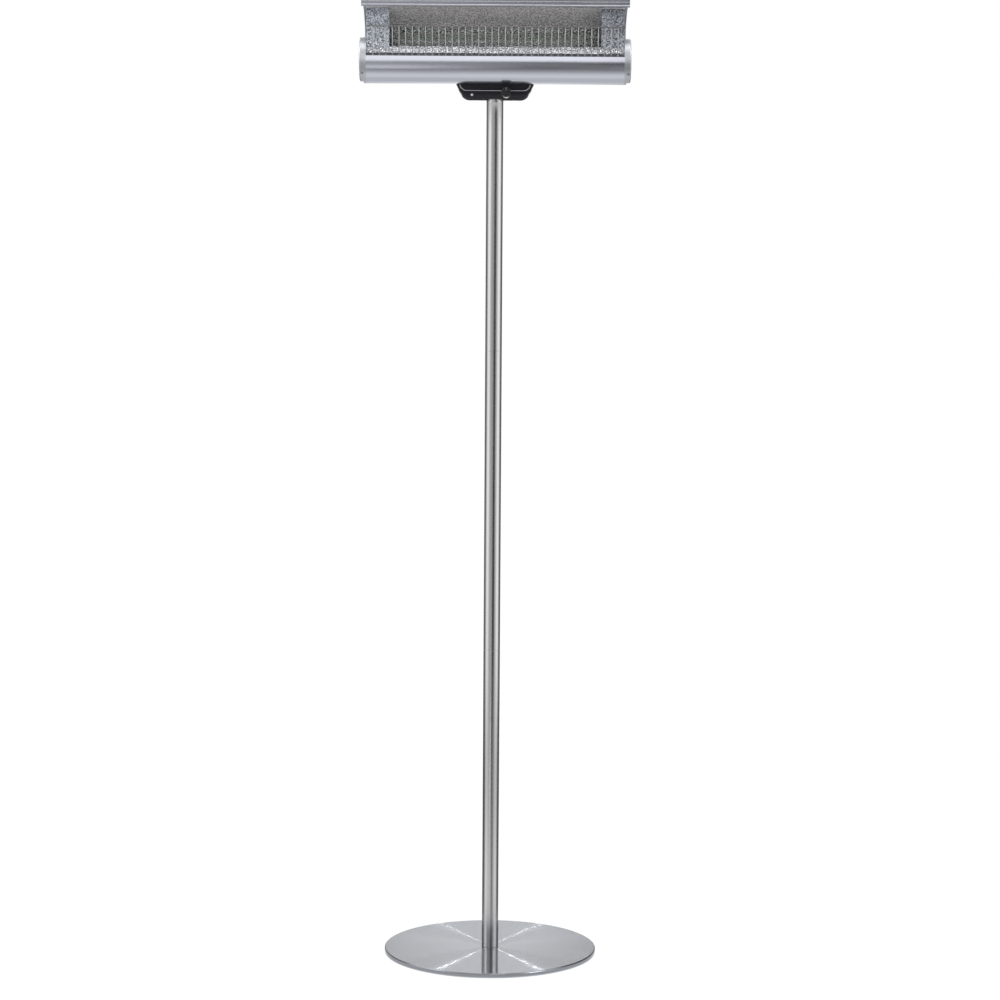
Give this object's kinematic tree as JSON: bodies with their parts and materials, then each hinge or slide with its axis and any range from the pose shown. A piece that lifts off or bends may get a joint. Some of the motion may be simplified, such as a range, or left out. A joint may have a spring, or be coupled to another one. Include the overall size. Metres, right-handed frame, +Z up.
{
  "type": "infrared patio heater",
  "caption": "Free-standing infrared patio heater: a tilting hooded head with a wire guard on a sectional steel pole and a round weighted base.",
  "frame": {"origin": "on the floor at the centre of the round base", "axes": "+Z up along the pole, the heater faces -Y, +X to the viewer's right"},
  "size_m": [0.56, 0.45, 2.0043],
  "materials": {
    "brushed_base": "concentric brushed stainless steel",
    "satin_pole": "satin polished stainless steel tube",
    "cast_weight": "black oxide steel disc",
    "rubber_pad": "matte black rubber",
    "zinc_steel": "zinc plated steel",
    "black_gloss": "gloss black",
    "knob_plastic": "gloss black with a pale pointer",
    "gland_plastic": "matte black nylon",
    "switch_plastic": "pale moulded plastic",
    "lamp_lens": "clear pale lens",
    "satin_aluminium": "satin anodised aluminium",
    "hammered_aluminium": "hammered bright aluminium",
    "bright_wire": "bright plated wire",
    "spring_steel": "bright spring steel",
    "quartz_glass": "clear quartz",
    "filament_metal": "dark wound filament",
    "white_ceramic": "matte white steatite"
  },
  "bodies": {
    "stand": {"base_cover": "brushed_base", "base_weight": "cast_weight", "base_feet": "rubber_pad", "base_washer": "zinc_steel", "base_bolt": "zinc_steel", "lower_pole": "satin_pole", "middle_pole": "satin_pole", "upper_pole": "satin_pole", "foot_plug": "zinc_steel", "lower_stud": "zinc_steel", "lower_socket": "zinc_steel", "upper_stud": "zinc_steel", "upper_socket": "zinc_steel", "pole_pin": "zinc_steel", "tilt_cradle": "black_gloss", "clamp_plate": "zinc_steel", "clamp_bolts": "zinc_steel", "clamp_washers": "zinc_steel", "clamp_nuts": "zinc_steel", "control_tub": "black_gloss", "tub_screws": "zinc_steel", "rotary_switch": "switch_plastic", "pilot_lens": "lamp_lens", "cable_gland": "gland_plastic", "gland_nut": "gland_plastic", "terminal_block": "switch_plastic"},
    "head": {"housing": "satin_aluminium", "reflector": "hammered_aluminium", "lip_bar": "satin_aluminium", "end_cap_left": "satin_aluminium", "end_cap_right": "satin_aluminium", "end_cap_screws": "zinc_steel", "wire_guard": "bright_wire", "quartz_tube": "quartz_glass", "filament": "filament_metal", "ceramic_left": "white_ceramic", "ceramic_right": "white_ceramic", "lamp_clip_left": "spring_steel", "lamp_clip_right": "spring_steel"},
    "knob": {"selector_knob": "knob_plastic", "switch_shaft": "zinc_steel"}
  },
  "joints": [
    {"name": "head_tilt", "type": "hinge", "parent": "stand", "child": "head", "pos_m": [0, -0.035, 1.885], "axis": [1, 0, 0], "range_deg": [-15, 30]},
    {"name": "knob_turn", "type": "hinge", "parent": "stand", "child": "knob", "pos_m": [0.023, -0.035, 1.819], "axis": [0, 1, 0], "range_deg": [0, 90]}
  ]
}
